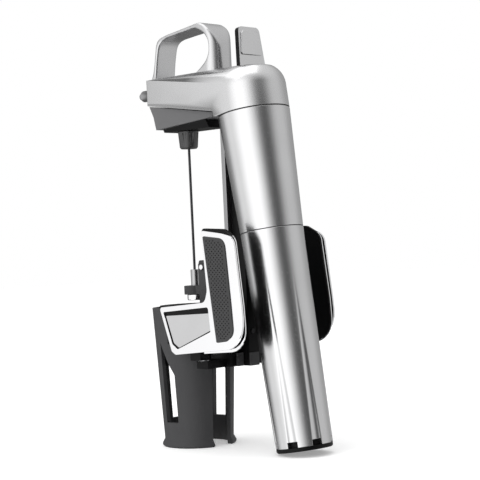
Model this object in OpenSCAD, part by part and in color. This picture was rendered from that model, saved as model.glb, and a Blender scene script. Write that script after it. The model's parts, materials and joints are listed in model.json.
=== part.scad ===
// Hand-held wine preservation dispenser: a needle and gas-capsule unit that slides on a neck clamp.
// Millimetres, +Z up along the needle, -X towards the spout, +X towards the capsule cup.
// The origin is on the needle axis, level with the foot of the neck skirt.

/* [Capsule cup and sleeve] */
// Angle between the capsule cup and the needle
cup_lean = 8.2; // [7.6:0.1:8.8]
// Distance from the needle to the cup axis, at the foot
cup_foot_x = 81.8; // [81:0.2:83]
// Length of the removable capsule cup along its axis
cup_len = 121.8; // [118:0.5:124]
// Length of the fixed sleeve above the cup, along its axis
sleeve_len = 67.2; // [65:0.5:69]
// Radius of the cup at its foot
cup_r_end = 15.8; // [15.4:0.1:16.4]
// Radius of the cup and the sleeve where they meet
seam_r = 17.7; // [17.4:0.1:18.2]
// Radius of the sleeve where it meets the head
sleeve_r_top = 20.3; // [19.8:0.1:20.8]
// Wall of the sleeve
sleeve_wall = 2.1; // [1.6:0.1:2.4]
// Number of grip flutes round the foot of the cup
flute_n = 7; // [5:1:8]
// Depth of a flute at the foot
flute_depth = 1.1; // [0.7:0.1:1.4]

/* [Head] */
// Height of the head above the sleeve
head_h = 25.88; // [24:0.02:28]
// Reach of the head in front of the needle
head_reach = 21.5; // [20:0.5:24]
// Width of the head at its front
head_w = 26; // [24:0.5:28]
// Wall of the head casting
head_wall = 2; // [1.6:0.1:2.4]
// Radius of the rounded rear shoulder of the head
shoulder_r = 12.5; // [8:0.5:14]

/* [Loop handle] */
// Width of the loop's strap
loop_w = 15.8; // [14:0.2:18]
// Width of the loop's strap at its rear
loop_rear_w = 19; // [17:0.2:21]
// Height of the loop above the head
loop_h = 28.6; // [26:0.2:31]
// Length of the loop, front to back
loop_len = 55.4; // [52:0.2:56]

/* [Trigger] */
// Height of the trigger above the head
trigger_h = 22.6; // [18:0.2:24]
// Width of the trigger at the head
trigger_w = 21.4; // [19:0.2:22]
// Thickness of the trigger
trigger_t = 2.9; // [2.4:0.1:3.4]
// Travel of the trigger in degrees
trigger_turn = 12; // [8:1:12]

/* [Needle and spout] */
// Outer radius of the needle
needle_r = 0.75; // [0.7:0.05:0.9]
// Radius of the needle's fluted hub at its top
hub_r = 6.1; // [5.6:0.1:6.4]
// Height of the fluted hub
hub_h = 10; // [9:0.2:12]
// Outer radius of the spout nozzle
nozzle_r = 3.4; // [3:0.1:3.8]
// Reach of the spout in front of the needle
spout_reach = 39.8; // [37:0.2:42]

/* [Neck clamp] */
// Radius of the bottle neck that the jaws hold
neck_r = 15; // [14.5:0.1:15]
// Height of the neck skirt
skirt_h = 81; // [79:0.5:82]
// Outer radius of the skirt at its foot
skirt_r_foot = 20; // [19.8:0.1:20.4]
// Outer radius of the skirt at its top
skirt_r_top = 24.2; // [24:0.1:24.6]
// Wall of the skirt
skirt_wall = 2.4; // [2:0.1:2.5]
// Travel of the clamp up the rail
clamp_stroke = 68; // [50:1:69]

/* [Wings] */
// Length of a wing
wing_len = 76.5; // [74:0.5:78]
// Height of a wing
wing_h = 70; // [68:0.5:71]
// Distance from the middle plane to a wing's outer face, at the needle
wing_side = 29.6; // [29.4:0.1:30.4]
// Outward flare of a wing
wing_flare = 5.9; // [5.5:0.1:6.5]
// Thickness of a wing's metal frame
frame_t = 1.2; // [1.1:0.05:1.4]
// Squeeze travel of a wing in degrees
wing_turn = 8; // [5:1:9]

/* [Rail] */
// Distance from the needle to the front of the rail
rail_x = 33.2; // [33:0.1:33.6]
// Width of the rail's front flange
rail_w = 13; // [12:0.2:14]
// Thickness of the rail's front flange
rail_t = 2.9; // [2.6:0.1:3.2]

/* [Hidden] */

// Smoothness of round parts, of hulled parts and of one corner arc
$fn = 64;
hull_fn = 40;
arc_n = 6;

// Clearances: between pieces of one body, of a running shaft, of a sliding piece, of a seam
gap = 0.15;
run_gap = 0.08;
slide_gap = 0.3;
seam_gap = 0.35;
// Overrun of every cut
over = 1;

// Finishes as plain colours
silver = "silver";
chrome = "gainsboro";
plastic_dark = "dimgray";
plastic_black = [0.1, 0.1, 0.1];
rubber_black = [0.06, 0.06, 0.06];
brass = "goldenrod";
steel = "lightgray";

// Cup axis: the rim's lowest point rests level with the skirt's foot
cup_drop = cup_r_end * sin(cup_lean);
cup_base_x = cup_foot_x - cup_drop * tan(cup_lean);
sleeve_top = cup_len + sleeve_len;
head_top = cup_drop + sleeve_top * cos(cup_lean) + head_h;
function axis_x(z) = cup_foot_x - z * tan(cup_lean);
function axis_t(z) = (z - cup_drop) / cos(cup_lean);

// Cup walls and the parts in it
rim_h = 2.3;
cup_bore_r = 13.2;
collar_bore_r = 15.3;
collar_depth = 17.8;
liner_wall = 1.7;
notch_h = 3.2;
notch_w = 5.4;
flute_r = 5;
flute_len = 72;
flute_end_r = 2;
flute_step = 0.1;
flute_turn = -19;
floor_top = 5;
vent_r = 1.4;
vent_ring_r = 8.4;
capsule_r = 11;
capsule_room = 27.8;
capsule_edge = 1.2;
capsule_len = cup_len - capsule_room;
capsule_neck_r = 4.5;
capsule_neck_len = 7;
capsule_foot_r = 6;
pierce_r = 1.4;
pierce_depth = 6;

// Collar, regulator and valve, by distance up the cup axis
collar_drop = 15;
collar_foot = cup_len - collar_drop;
collar_h = 24;
collar_t = 1.6;
thread_n = 4;
thread_pitch = 2.4;
thread_h = 0.35;
reg_skirt_r = 8;
reg_skirt_h = 8;
reg_flange_h = 9;
reg_neck_r = 9;
reg_neck_h = 12;
reg_bore_r = 6.5;
pin_r = 1;
pin_head_r = 3;
pin_head_h = 1.8;
pin_point_h = 2;
seal_h = 2;
valve_r = 10;
valve_low_h = 24;
valve_flange_h = 4;
valve_tube_r = 5.5;
valve_tube_h = 0.8;
stem_r = 1.7;
stem_head_r = 4;
stem_head_h = 1.7;
chamber_r = 5;
piston_h = 4;
piston_stem_r = 2;
piston_stem_h = 6;
wire_r = 0.45;
capsule_top = floor_top + capsule_len;
seal_foot = capsule_top + gap;
reg_floor = seal_foot + seal_h;
reg_flange_foot = cup_len - collar_depth + seam_gap;
reg_flange_top = reg_flange_foot + reg_flange_h;
reg_top = reg_flange_top + reg_neck_h;
reg_chamber = reg_floor + 3.4 * seal_h;
valve_foot = reg_top;
valve_mid = valve_foot + valve_low_h;
valve_top = sleeve_top + valve_tube_h;
stem_head_t = valve_mid - 4 * stem_head_h;

// Head outline
shoulder_lift = 0.2;
nose_r = 2;
belly_front = 15;
belly_rear = 23.9;
belly_lead = 12.29;
belly_rear_x = axis_x(head_top) - belly_lead;
throat_lead = 8.79;
throat_x = axis_x(head_top) - throat_lead;
chamfer_tilt = 30;
chamfer_turn = 9;
chamfer_drop = 13.8;
chamfer_z = head_top - chamfer_drop;
chamfer_lead = 9.79;
chamfer_rear = axis_x(head_top) - chamfer_lead;
shoulder_top = axis_t(head_top) + shoulder_lift;
slot_len = 12;
slot_lead = 6.6;
loop_corner = 7.5;

// Trigger pivot, under the head's top
pivot_drop = 10.5;
pivot_r = 1.5;
pivot_arm = 4.6;
pivot_z = head_top - pivot_drop;
pivot_x = axis_x(pivot_z) + pivot_arm;
hub_knuckle_r = 3.2;
foot_t = 2.2;
trigger_back = 4.8;
trigger_x = axis_x(head_top) + trigger_back;
trigger_rake = 5.6;
trigger_narrow = 5;
pad_rise = 0.7;
pad_margin = 1.9;
pad_round = 1.6;

// Chin cover and the plate under it
chin_gap = 0.6;
chin_rear = 23.2;
chin_lead = 17.29;
chin_rear_x = axis_x(head_top) - chin_lead;
chin_side = 0.8;
chin_w = head_w - 2 * chin_side;
chin_wall = 1.8;
chin_drop = 29.8;
chin_foot = head_top - chin_drop;
chin_rise = 3.5;
chin_nose = 14.4;
under_h = 4.4;
under_drop = 1.7;
under_foot = chin_foot - under_drop;
under_front = 12;
under_rear = 26;
under_w_top = 21.4;
under_w_foot = 16;

// Needle, hub and socket
hub_taper = 0.87;
hub_flutes = 8;
hub_flute_r = 1.5;
hub_edge = 0.8;
hub_top = under_foot - slide_gap;
hub_foot = hub_top - hub_h;
stud_r = 2.8;
stud_h = 11;
socket_r = 7;
socket_drop = 6;
socket_top = head_top - socket_drop;
needle_tip_h = 3;
needle_top = hub_top + stud_h;

// Spout
spout_drop = 7.2;
spout_z = head_top - spout_drop;
tip_r = 2;
tip_len = 2.4;
nozzle_root_r = 4.8;
nozzle_len = 6;
tube_r = 1.5;

// Rail
rail_foot = 47.5;
rail_drop = 28.2;
rail_top = head_top - rail_drop;
web_w = 7;
web_x = 45.5;
stop_h = 7.4;
stop_w = 16;
stop_x = 41;
rail_screw_share = [0.2624, 0.5989, 0.9354];
rail_screw_z = [for (s = rail_screw_share) rail_foot + s * (cup_len - rail_foot)];
rail_screw_r = 1.3;
rail_screw_h = 0.6;
rail_screw_len = 7;
screw_shank_share = 0.5;
socket_share = 0.55;
cup_clear = 0.5;
cup_clear_r = seam_r + cup_clear;

// Skirt windows, slots and lip
skirt_x = -2.5;
lip_r = 1.7;
lip_h = 4.4;
window_side = [-8, 2];
window_foot = 14.5;
window_top = 61;
window_knee = 48.5;
window_bend = 6;
front_window_w = 8.4;
front_window_top = 58;
rear_gap_w = 14.2;
slot_top = 47;

// Clamp body round the neck
clamp_foot = 47.5;
clamp_top = 82;
clamp_r_gap = 0.3;
neck_clear = 0.6;
bridge_w = 26;
bridge_x = 39.6;
ear_x = [27, 36];
ear_y = 27;
ear_h = 4.5;
ear_z_top = 78;
tab_top = 52;
channel_gap = 1.1;
liner_t = 0.8;
jaw_z = [62, 76];
jaw_gap = 1.6;
jaw_sector = [30, 86];
jaw_arm = [[9, -17.6, 0], [15, -12.4, 0], [20.5, -20, 1], [22.4, -29.1, 0],
    [15.5, -28.4, 0.5]];
jaw_mid = (jaw_sector[0] + jaw_sector[1]) / 2;
skirt_turn = [27, 86];
clamp_turn = [23.5, 87];
jaw_t = 3;
jaw_pad_t = 2;
skirt_screw_r = 1.8;
skirt_screw_z = 68;
skirt_screw_turn = 150;

// Needle guide
guide_w = 9;
collar_r = 6.65;
collar_z = 88;
collar_t_guide = 5.1;
arm_x = [7.8, 17];
arm_top = 105.8;
arm_base_x = 25;
arm_base_h = 3;
bumper_h = 2;
bumper_len = 5.4;
bumper_slope = 0.7;
bumper_round = 1;
guide_round = 2;
guide_pin_x = 11;
guide_pin_drop = 2;
guide_pin_r = 1.5;
guide_pin_w = 11;
guide_r = 2.5;
guide_top = 102.5;
guide_foot_r = 5;
guide_foot_z = 84.6;

// Wing hinge and outline; places along a wing are shares of its length and height
wing_foot = 55;
arc_share = 1 / 70;
hinge_x = 30;
hinge_y = 24;
hinge_r = 1.6;
lug_r = 4;
lug_z = [52.4, 66];
back_t = 2.2;
back_gap = 0.1;
block_out = 1.1;
rim_depth = 0.8;
rim_t = 0.6;
rim_gap = 0.1;
lobe_t = 1.4;
shoulder_rise = 0.3;
pad_t = 1.1;
pad_proud = 0.6;
pad_gap = 0.1;
plate_t = 0.5;
frame_share = [[0.56, 0.995, 1.5], [0.785, 0.965, 12], [0.925, 0.935, 7], [0.98, 0.41, 40],
    [1.004, 0.085, 16], [0.185, 0.005, 3], [0.14, 0.03, 2], [0.01, 0.385, 1.5],
    [0.565, 0.43, 4.5], [0.598, 0.52, 6], [0.58, 0.75, 40]];
pad_share = [[0.583, 0.95, 0.8], [0.826, 0.923, 6], [0.87, 0.41, 30], [0.885, 0.18, 6],
    [0.8, 0.13, 3], [0.69, 0.117, 0.8]];
recess_share = [[0.054, 0.348, 0.6], [0.6, 0.393, 1.5], [0.618, 0.2, 0.8], [0.212, 0.05, 2],
    [0.15, 0.09, 0.8]];
plate_share = [[0.075, 0.318, 0.4], [0.6, 0.345, 0.6], [0.61, 0.21, 0.6], [0.22, 0.062, 2],
    [0.158, 0.1, 0.6]];
core_share = [[0.545, 1.012, 2], [0.79, 0.998, 6], [0.902, 0.93, 6], [0.96, 0.41, 40],
    [0.982, 0.105, 14.5], [0.3, 0.035, 3], [0.3, 0.37, 3], [0.55, 0.41, 5], [0.575, 0.5, 6]];
cover_share = [[0.545, 1.012, 2], [0.8, 0.995, 5], [0.908, 0.928, 6], [0.966, 0.41, 40],
    [0.984, 0.066, 12.5], [0.3, 0.02, 3], [0.3, 0.37, 3], [0.55, 0.41, 5], [0.575, 0.5, 6]];
rim_share = [[0.56, 0.975, 2], [0.79, 0.985, 5], [0.915, 0.93, 6], [0.972, 0.41, 40],
    [0.99, 0.058, 13], [0.33, 0.01, 3], [0.33, 0.36, 3], [0.56, 0.4, 5], [0.585, 0.5, 6]];
lobe_share = [[0.022, 0.376, 1], [0.56, 0.436, 2], [0.6, 0.5, 2], [0.62, 0.06, 2],
    [0.185, 0.012, 3], [0.15, 0.04, 2]];

// Loop handle outline as shares of its length and height, and corner radii as shares of length
loop_outer_share = [[0, 0, 0], [0.05, 0.35, 0.3], [0.1, 0.84, 0.12], [0.26, 0.9, 0.2],
    [0.79, 1.02, 0.12], [0.99, 0.82, 0.3], [1, 0, 0]];
loop_inner_share = [[0.06, -0.1, 0], [0.1, 0.4, 0.2], [0.145, 0.77, 0.12], [0.27, 0.83, 0.2],
    [0.72, 0.915, 0.08], [0.91, 0.72, 0.16], [0.9, 0.28, 0.16], [0.72, 0.02, 0.1],
    [0.7, -0.1, 0]];

// Arc points of one rounded corner, and a closed outline with a radius at each point
function corner(a, b, c, r) = r <= 0 ? [b] :
    let (u = (a - b) / norm(a - b), v = (c - b) / norm(c - b), h = acos(u * v) / 2,
        m = b + (u + v) / norm(u + v) * r / sin(h), s = b + u * r / tan(h) - m,
        e = b + v * r / tan(h) - m, w = 180 - 2 * h)
    [for (k = [0:arc_n]) m + (s * sin(w * (1 - k / arc_n)) + e * sin(w * k / arc_n)) / sin(w)];
function xy(p) = [p[0], p[1]];
function rounded(p) = [for (i = [0:len(p) - 1])
    each corner(xy(p[(i + len(p) - 1) % len(p)]), xy(p[i]), xy(p[(i + 1) % len(p)]), p[i][2])];

// Wing and loop outlines at their real size; a wing's corner radii are shares of its height
function on_wing(s) = rounded([for (p = s) [p[0] * wing_len, wing_foot + p[1] * wing_h,
    p[2] * wing_h * arc_share]]);
function on_loop(s) = rounded([for (p = s) [p[0] * loop_len - head_reach,
    head_top + p[1] * loop_h, p[2] * loop_len]]);

// Places children on the leaning cup axis, foot at the rim
module on_cup_axis(t = 0) {
    translate([cup_base_x, 0, cup_drop]) rotate([0, -cup_lean, 0]) translate([0, 0, t])
        children();
}

// Revolves a profile of [radius, height] points about the cup axis
module cup_turned(points) {
    on_cup_axis() rotate_extrude() polygon(points);
}

// Extrudes a side-view outline of [x, z] points over a width centred on the middle plane
module side_slab(points, w) {
    translate([0, w / 2, 0]) rotate([90, 0, 0]) linear_extrude(w) polygon(points);
}

// A box between two corners
module span(a, b) {
    translate(a) cube(b - a);
}

// One unbroken coil of round wire, standing on its foot
module coil(r, wire, h, turns) {
    steps = turns * 8;
    sides = 6;
    pts = [for (i = [0:steps], j = [0:sides - 1])
        let (a = 45 * i, b = 360 * j / sides, q = r + wire * cos(b))
        [q * cos(a), q * sin(a), wire + (h - 2 * wire) * i / steps + wire * sin(b)]];
    rings = [for (i = [0:steps - 1], j = [0:sides - 1])
        let (k = (j + 1) % sides, a = i * sides)
        each [[a + j, a + k, a + sides + k], [a + j, a + sides + k, a + sides + j]]];
    first = [for (j = [1:sides - 2]) [0, j + 1, j]];
    last = [for (j = [1:sides - 2]) [steps * sides, steps * sides + j, steps * sides + j + 1]];
    polyhedron(pts, concat([for (f = concat(rings, first, last)) [f[0], f[2], f[1]]]));
    echo("least gap between turns", (h - 2 * wire) / turns - 2 * wire);
}

// Screw with a round socketed head, its head's top at the origin, pointing down
module screw(head_r, head_h, length) {
    difference() {
        union() {
            translate([0, 0, -head_h]) cylinder(r = head_r, h = head_h);
            translate([0, 0, -length]) cylinder(r = head_r * screw_shank_share, h = length);
        }
        translate([0, 0, -head_h * socket_share])
            cylinder(r = head_r * socket_share, h = head_h, $fn = 6);
    }
}

// Smooth body of the head, drawn in by a wall
module head_form(inset) {
    difference() {
        hull() {
            for (s = [-1, 1])
                translate([nose_r - head_reach, s * (head_w / 2 - nose_r),
                    head_top - belly_rear])
                    cylinder(r = nose_r - inset * 0.5, h = belly_rear - inset, $fn = hull_fn);
            on_cup_axis() rotate_extrude($fn = 2 * hull_fn) polygon([[0, sleeve_top - over],
                [sleeve_r_top - inset, sleeve_top - over],
                for (a = [0:10:90]) [sleeve_r_top - shoulder_r + (shoulder_r - inset) * cos(a),
                    shoulder_top - shoulder_r + (shoulder_r - inset) * sin(a)],
                [0, shoulder_top - inset]]);
        }
        span([-2 * head_reach, -2 * head_w, head_top - inset],
            [2 * cup_foot_x, 2 * head_w, head_top + shoulder_r]);
    }
}

// Everything below the head's belly line, raised by a wall; the round end over the sleeve stays
module below_belly(up) {
    difference() {
        side_slab(concat([[-2 * head_reach, 0], [-2 * head_reach, head_top - belly_front + up],
            [-head_reach, head_top - belly_front + up]],
            corner([-head_reach, head_top - belly_front + up],
                [belly_rear_x, head_top - belly_rear + up],
                [throat_x + up, head_top - belly_rear - 4 * nose_r], 1.5 * nose_r),
            [[throat_x + up, head_top - belly_rear - 4 * nose_r], [throat_x + up, 0]]),
            2 * head_w);
        on_cup_axis(sleeve_top - 2 * over) cylinder(r = sleeve_r_top - up, h = shoulder_r,
            $fn = 2 * hull_fn);
    }
}

// Sloping cut along the lower edge of the head's left side, wider towards the rear
module side_chamfer() {
    intersection() {
        translate([nose_r - head_reach, -head_w / 2, chamfer_z])
            rotate([0, 0, -chamfer_turn]) rotate([chamfer_tilt, 0, 0])
                translate([-head_w, -head_w, -2 * head_w])
                    cube([4 * head_w, head_w, 4 * head_w]);
        span([-2 * head_reach, -2 * head_w, 0], [chamfer_rear, 0, chamfer_z + over]);
    }
}

module head_shell() {
    color(silver) difference() {
        head_form(0);
        below_belly(0);
        on_cup_axis(seam_gap) cylinder(r = 3 * seam_r, h = sleeve_top);
        for (s = [0, 1]) mirror([0, s, 0]) side_chamfer();
        difference() {
            head_form(head_wall);
            below_belly(head_wall);
            for (s = [0, 1]) mirror([0, s, 0]) translate([0, head_wall, 0]) side_chamfer();
        }
        translate([pivot_x - hub_knuckle_r - slot_lead, -trigger_w / 2 - slide_gap,
            head_top - shoulder_r]) cube([slot_len, trigger_w + 2 * slide_gap, 2 * shoulder_r]);
        translate([0, 0, chin_foot]) cylinder(r = socket_r + gap, h = shoulder_r + belly_front);
        translate([-2 * head_reach, 0, spout_z]) rotate([0, 90, 0])
            cylinder(r = tube_r + gap, h = 2 * head_reach);
        translate([pivot_x, 0, pivot_z]) rotate([90, 0, 0])
            cylinder(r = pivot_r, h = trigger_w + 4 * head_wall, center = true);
    }
}

// Side outline of the chin cover; its hollow is the same outline inset and raised
module chin_profile(inset, up) {
    front = head_top - belly_front - chin_gap + up;
    rear = head_top - chin_rear - chin_gap + up;
    polygon([[nose_r - head_reach + inset, front],
        [2.6 * nose_r - head_reach + inset, head_top - belly_front - 3.6 * nose_r],
        [inset - chin_nose, chin_foot + inset], [chin_rear_x - inset,
        chin_foot + chin_rise + inset], [chin_rear_x - inset, rear]]);
}

module chin_cover() {
    color(plastic_dark) difference() {
        translate([0, chin_w / 2, 0]) rotate([90, 0, 0]) linear_extrude(chin_w)
            chin_profile(0, 0);
        translate([0, chin_w / 2 - chin_wall, 0]) rotate([90, 0, 0])
            linear_extrude(chin_w - 2 * chin_wall) chin_profile(chin_wall, over);
        translate([0, 0, chin_foot - over]) cylinder(r = socket_r + gap, h = belly_front);
        under_form(gap);
    }
}

// Tapered block of the plate under the chin, grown by a margin
module under_form(margin) {
    foot = under_w_foot / 2 + margin;
    top = under_w_top / 2 - gap + margin;
    rotate([90, 0, 90]) translate([0, 0, -under_front - margin])
        linear_extrude(under_front + under_rear + 2 * margin) polygon([[-foot, under_foot],
            [foot, under_foot], [top, under_foot + under_h + margin],
            [-top, under_foot + under_h + margin]]);
}

module under_cover() {
    color(plastic_black) difference() {
        under_form(0);
        translate([0, 0, under_foot - over]) cylinder(r = stud_r + gap, h = under_h + 2 * over);
    }
}

module loop_handle() {
    color(silver) intersection() {
        difference() {
            side_slab(on_loop(loop_outer_share), 2 * loop_w);
            side_slab(on_loop(loop_inner_share), 3 * loop_w);
        }
        translate([0, 0, head_top]) linear_extrude(2 * loop_h) polygon(rounded([
            [-2 * head_reach, -loop_w / 2, 0], [-head_reach, -loop_w / 2, loop_w],
            [loop_len - head_reach, -loop_rear_w / 2, loop_corner],
            [loop_len - head_reach, loop_rear_w / 2, loop_corner],
            [-head_reach, loop_w / 2, loop_w], [-2 * head_reach, loop_w / 2, 0]]));
    }
}

module sleeve_gasket() {
    color(rubber_black) cup_turned([
        [sleeve_r_top - sleeve_wall - seam_gap, sleeve_top - seam_gap],
        [sleeve_r_top - seam_gap, sleeve_top - seam_gap],
        [sleeve_r_top - seam_gap, sleeve_top + seam_gap],
        [sleeve_r_top - sleeve_wall - seam_gap, sleeve_top + seam_gap]]);
}

module upper_sleeve() {
    color(silver) cup_turned([[seam_r - sleeve_wall, cup_len + seam_gap],
        [seam_r, cup_len + seam_gap], [sleeve_r_top, sleeve_top - seam_gap],
        [sleeve_r_top - sleeve_wall, sleeve_top - seam_gap],
        [seam_r - sleeve_wall, collar_foot + collar_h]]);
}

module cup_collar() {
    r = collar_bore_r - slide_gap;
    color(plastic_black) difference() {
        cup_turned(concat([[r - collar_t, collar_foot], [r - thread_h, collar_foot]],
            [for (i = [0:thread_n - 1], p = [[0.2, 0], [0.4, 1], [0.6, 1], [0.8, 0]])
                [r - thread_h + p[1] * thread_h, collar_foot + (i + p[0]) * thread_pitch]],
            [[r - thread_h, cup_len], [seam_r - sleeve_wall - gap, cup_len],
            [seam_r - sleeve_wall - gap, collar_foot + collar_h],
            [r - collar_t, collar_foot + collar_h]]));
    }
}

module regulator_body() {
    flange_r = collar_bore_r - slide_gap - collar_t - gap;
    color(brass) cup_turned([[capsule_neck_r + slide_gap, reg_floor - reg_skirt_h],
        [reg_skirt_r, reg_floor - reg_skirt_h], [reg_skirt_r, reg_flange_foot],
        [flange_r, reg_flange_foot], [flange_r, reg_flange_top], [reg_neck_r, reg_flange_top],
        [reg_neck_r, reg_top], [reg_bore_r, reg_top], [reg_bore_r, reg_chamber],
        [pin_r + run_gap, reg_chamber], [pin_r + run_gap, reg_floor],
        [capsule_neck_r + slide_gap, reg_floor]]);
}

module capsule_seal() {
    color(rubber_black) cup_turned([[pierce_r, seal_foot], [capsule_neck_r, seal_foot],
        [capsule_neck_r, reg_floor], [pierce_r, reg_floor]]);
}

module piercing_pin() {
    point = capsule_top - pierce_depth + 2 * gap;
    color(steel) cup_turned([[0, point], [pin_r, point + pin_point_h], [pin_r, reg_chamber],
        [pin_head_r, reg_chamber], [pin_head_r, reg_chamber + pin_head_h],
        [0, reg_chamber + pin_head_h]]);
}

module regulator_spring() {
    foot = reg_chamber + pin_head_h + gap;
    color(steel) on_cup_axis(foot) coil(reg_bore_r - 3 * wire_r, wire_r,
        reg_top - piston_h - foot - gap, 5);
}

module regulator_piston() {
    r = reg_bore_r - gap;
    color(brass) cup_turned([[0, reg_top - piston_h], [r, reg_top - piston_h], [r, reg_top],
        [piston_stem_r, reg_top], [piston_stem_r, reg_top + piston_stem_h],
        [0, reg_top + piston_stem_h]]);
}

module valve_body() {
    flange_r = seam_r - sleeve_wall + (valve_mid - valve_flange_h - collar_foot - collar_h)
        * (sleeve_r_top - seam_r) / (sleeve_top - collar_foot - collar_h) - gap;
    floor_t = valve_foot + piston_stem_h + 2 * stem_head_h;
    color(brass) cup_turned([[piston_stem_r + gap, valve_foot], [valve_r, valve_foot],
        [valve_r, valve_mid - valve_flange_h], [flange_r, valve_mid - valve_flange_h],
        [flange_r, valve_mid], [valve_tube_r, valve_mid], [valve_tube_r, valve_top],
        [stem_r + run_gap, valve_top], [stem_r + run_gap, valve_mid - 2 * stem_head_h],
        [chamber_r, valve_mid - 2 * stem_head_h], [chamber_r, floor_t],
        [piston_stem_r + gap, floor_t]]);
}

module valve_stem() {
    top = axis_t(pivot_z) - hub_knuckle_r - gap;
    color(steel) cup_turned([[0, stem_head_t - stem_head_h], [stem_head_r, stem_head_t
        - stem_head_h], [stem_head_r, stem_head_t], [stem_r, stem_head_t], [stem_r, top],
        [0, top]]);
}

module valve_spring() {
    foot = valve_foot + piston_stem_h + 2 * stem_head_h + gap;
    color(steel) on_cup_axis(foot) coil(chamber_r - 3 * wire_r, wire_r,
        stem_head_t - stem_head_h - gap - foot, 4);
}

module gas_tube() {
    bend_x = axis_x(head_top) - valve_tube_r - 2 * tube_r;
    high = spout_z - 3 * tube_r;
    low = cup_drop + (valve_top - 3 * tube_r) * cos(cup_lean);
    color(steel) {
        translate([socket_r, 0, high]) rotate([0, 90, 0])
            cylinder(r = tube_r, h = bend_x - socket_r);
        translate([bend_x, 0, high]) sphere(r = tube_r);
        translate([bend_x, 0, low]) cylinder(r = tube_r, h = high - low);
        translate([bend_x, 0, low]) sphere(r = tube_r);
        difference() {
            translate([bend_x, 0, low]) rotate([0, 90, 0])
                cylinder(r = tube_r, h = 3 * tube_r + valve_tube_r);
            on_cup_axis(sleeve_top - sleeve_len / 2) cylinder(r = valve_tube_r + gap,
                h = sleeve_len);
        }
    }
}

module needle_socket() {
    color(brass) difference() {
        translate([0, 0, under_foot + under_h]) cylinder(r = socket_r,
            h = socket_top - under_foot - under_h);
        translate([0, 0, under_foot]) cylinder(r = stud_r + run_gap,
            h = needle_top + seal_h - under_foot);
        translate([-2 * socket_r, 0, spout_z]) rotate([0, 90, 0])
            cylinder(r = tube_r, h = 2 * socket_r);
    }
}

module hub_seal() {
    color(rubber_black) translate([0, 0, needle_top + gap]) difference() {
        cylinder(r = stud_r, h = seal_h - 2 * gap);
        translate([0, 0, -over]) cylinder(r = needle_r + gap, h = seal_h + 2 * over);
    }
}

module spout_tube() {
    color(steel) translate([-spout_reach + tip_len, 0, spout_z]) rotate([0, 90, 0])
        difference() {
            cylinder(r = tube_r - run_gap / 2, h = spout_reach - tip_len - 2 * tube_r);
            translate([0, 0, -over]) cylinder(r = tube_r / 2, h = spout_reach + 2 * over);
        }
}

module spout_nozzle() {
    len_all = spout_reach - tip_len - head_reach;
    color(plastic_black) translate([-head_reach, 0, spout_z]) rotate([0, -90, 0])
        rotate_extrude() polygon([[tube_r, 0], [nozzle_root_r, 0],
            [nozzle_r + tube_r / 2, len_all - nozzle_len - tube_r],
            [nozzle_r, len_all - nozzle_len], [nozzle_r, len_all], [tube_r, len_all]]);
}

module spout_tip() {
    color(chrome) translate([-spout_reach, 0, spout_z]) rotate([0, 90, 0])
        rotate_extrude() polygon([[tube_r / 2, 0], [tip_r - gap, 0], [tip_r, gap],
            [tip_r, tip_len], [tube_r / 2, tip_len]]);
}

// Room that the cup needs as it draws out past the rail, and the sleeve's outside
module cup_room() {
    on_cup_axis(-sleeve_len) cylinder(r = cup_clear_r, h = cup_len + sleeve_len);
    cup_turned([[0, cup_len - over], [seam_r + gap, cup_len - over],
        [sleeve_r_top + gap, sleeve_top], [sleeve_r_top + gap, sleeve_top + 2 * over],
        [0, sleeve_top + 2 * over]]);
}

module rail_web() {
    back = rail_x + rail_t;
    color(plastic_black) difference() {
        union() {
            span([back, -web_w / 2, rail_foot], [web_x, web_w / 2, cup_len]);
            span([back, -web_w / 2, cup_len - over], [axis_x(cup_len), web_w / 2, rail_top]);
        }
        cup_room();
        for (z = rail_screw_z)
            translate([web_x, 0, z]) rotate([0, 90, 0])
                translate([0, 0, -rail_screw_len]) cylinder(
                    r = rail_screw_r * screw_shank_share + gap, h = 2 * rail_screw_len);
    }
}

module rail_strip() {
    color(steel) difference() {
        side_slab(rounded([[rail_x, rail_foot, 0], [rail_x + rail_t, rail_foot, 0],
            [rail_x + rail_t, rail_top, 0], [rail_x, rail_top, 0]]), rail_w);
        cup_room();
    }
}

module rail_stop() {
    back = rail_x + rail_t;
    color(plastic_dark) difference() {
        span([back + gap, -stop_w / 2, rail_foot], [stop_x, stop_w / 2, rail_foot + stop_h]);
        span([back, -web_w / 2 - gap, rail_foot - over],
            [web_x, web_w / 2 + gap, rail_foot + 2 * stop_h]);
        for (s = [-1, 1]) translate([back, s * stop_w / 2, rail_foot + 0.72 * stop_h])
            rotate([0, 90, 0]) cylinder(r = gap * 3, h = stop_x);
    }
    color(plastic_dark) translate([web_x + gap, 0, 0]) span([-gap, -web_w / 2,
        rail_foot], [liner_t, web_w / 2, rail_foot + stop_h]);
}

module rail_screws() {
    color(steel) for (z = rail_screw_z) translate([web_x + rail_screw_h, 0, z])
        rotate([0, 90, 0]) screw(rail_screw_r, rail_screw_h, rail_screw_len);
}

module trigger_pin() {
    color(steel) translate([pivot_x, 0, pivot_z]) rotate([90, 0, 0])
        cylinder(r = pivot_r - run_gap, h = trigger_w + 2 * head_wall, center = true);
}

// Outline of the trigger across the object: wide at the head, narrower and rounded on top
module trigger_face(margin, foot, thick, foot_round = 0) {
    w0 = trigger_w / 2 - margin;
    w1 = trigger_w / 2 - trigger_narrow / 2 - margin;
    top = head_top + trigger_h - margin;
    translate([trigger_x, 0, head_top]) rotate([0, -trigger_rake, 0])
        translate([-thick, 0, -head_top]) rotate([90, 0, 90]) linear_extrude(thick)
            polygon(rounded([[-w0, foot, foot_round], [w0, foot, foot_round],
                [w1, top, trigger_t],
                [-w1, top, trigger_t]]));
}

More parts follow.
